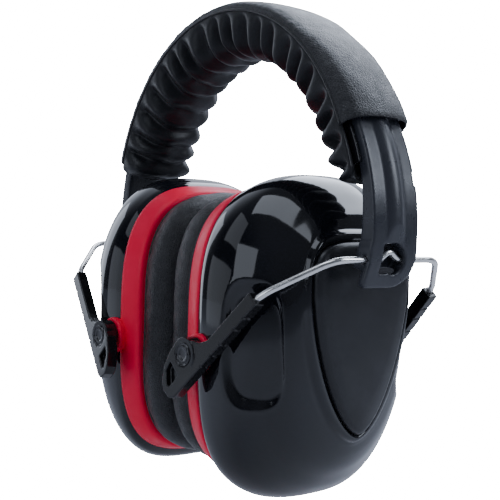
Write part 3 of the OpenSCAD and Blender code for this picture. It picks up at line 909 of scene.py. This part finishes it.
def soft_light(name, direction, distance, width, height, power):
    """A rectangular softbox that faces the cups from a direction."""
    target = Vector((0, 0, CUP_Z * MM))
    data = bpy.data.lights.new(name, "AREA")
    data.shape = "RECTANGLE"
    data.size, data.size_y = width, height
    data.energy = power
    data.color = (0.8, 0.87, 1)
    light = bpy.data.objects.new(name, data)
    light.location = target + Vector(direction).normalized() * distance
    light.rotation_mode = "QUATERNION"
    light.rotation_quaternion = (target - light.location).to_track_quat("-Z", "Y")
    bpy.context.scene.collection.objects.link(light)


def seen_white(tree, shade, shader_name, output_name):
    """Lets the camera see pure white where the object sees shade."""
    nodes, links = tree.nodes, tree.links
    glow = nodes.new(shader_name)
    glow.inputs["Color"].default_value = (1, 1, 1, 1)
    glow.inputs["Strength"].default_value = 40.0  # past what the view can show
    path = nodes.new("ShaderNodeLightPath")
    choice = nodes.new("ShaderNodeMixShader")
    links.new(path.outputs["Is Camera Ray"], choice.inputs["Fac"])
    links.new(shade, choice.inputs[1])
    links.new(glow.outputs[0], choice.inputs[2])
    links.new(choice.outputs[0], nodes[output_name].inputs["Surface"])


def studio_world():
    """Surroundings like a product table's: a bright backdrop behind and a dark flag at the front."""
    world = bpy.data.worlds.new("studio")
    world.use_nodes = True
    tree = world.node_tree
    nodes, links = tree.nodes, tree.links
    place = nodes.new("ShaderNodeTexCoord").outputs["Generated"]

    def towards(direction, start, end, low, high):
        facing = nodes.new("ShaderNodeVectorMath")
        facing.operation = "DOT_PRODUCT"
        facing.inputs[1].default_value = Vector(direction).normalized()
        links.new(place, facing.inputs[0])
        level = nodes.new("ShaderNodeMapRange")
        level.interpolation_type = "SMOOTHSTEP"
        for socket, value in zip(("From Min", "From Max", "To Min", "To Max"), (start, end, low, high)):
            level.inputs[socket].default_value = value
        links.new(facing.outputs["Value"], level.inputs["Value"])
        return level.outputs["Result"]

    def combined(operation, first, second):
        node = nodes.new("ShaderNodeMath")
        node.operation = operation
        links.new(first, node.inputs[0])
        links.new(second, node.inputs[1])
        return node.outputs[0]

    flag = towards((-0.5, -0.86, -0.1), 0.25, 0.85, 1.0, 0.12)
    backdrop = towards((-0.8, 0.6, 0), 0.2, 0.95, 0.14, 1.3)
    below = towards((0, 0, -1), 0.1, 0.8, 0.0, 0.22)
    level = combined("MULTIPLY", combined("ADD", backdrop, below), flag)
    links.new(level, nodes["Background"].inputs["Strength"])
    nodes["Background"].inputs["Color"].default_value = (0.78, 0.85, 1, 1)
    seen_white(tree, nodes["Background"].outputs[0], "ShaderNodeBackground", "World Output")
    bpy.context.scene.world = world


def pale_floor():
    """A sheet of paper below the cups. The camera sees it as white."""
    bm = bmesh.new()
    bmesh.ops.create_grid(bm, x_segments=2, y_segments=2, size=3)
    bmesh.ops.translate(bm, vec=(0, 0, cad_low.z - 0.06), verts=bm.verts)
    mesh = bpy.data.meshes.new("floor")
    bm.to_mesh(mesh)
    bm.free()
    floor = bpy.data.objects.new("floor", mesh)
    bpy.context.scene.collection.objects.link(floor)
    paper = bpy.data.materials.new("floor_paper")
    paper.use_nodes = True
    shader = paper.node_tree.nodes["Principled BSDF"]
    shader.inputs["Base Color"].default_value = (0.52, 0.53, 0.57, 1)
    shader.inputs["Roughness"].default_value = 0.9
    seen_white(paper.node_tree, shader.outputs[0], "ShaderNodeEmission", "Material Output")
    mesh.materials.append(paper)


def studio():
    studio_world()
    pale_floor()
    soft_light("front_softbox", (-0.6, -0.75, 0.02), 1.1, 0.8, 0.5, 0.8)
    soft_light("arch_softbox", (-0.42, -0.72, 0.62), 0.9, 0.5, 0.36, 0.42)
    soft_light("near_softbox", (0.1, -1, 0.3), 0.8, 0.5, 0.4, 1.1)
    soft_light("back_softbox", (-0.15, 0.62, 0.76), 1.0, 1.0, 0.6, 9.5)
    soft_light("key_softbox", (0.75, 0.6, 0.5), 1.2, 0.45, 0.5, 4.6)
    soft_light("top_softbox", (0.1, -0.3, 1), 1.1, 0.8, 0.5, 3)
    soft_light("left_softbox", (-1, -0.2, 0.15), 1.1, 0.4, 0.8, 2)


# ---------------------------------------------------------------- the whole

aim_camera()
cups()
bails()
headband()
arms()
finish_hidden_nodes()
studio()
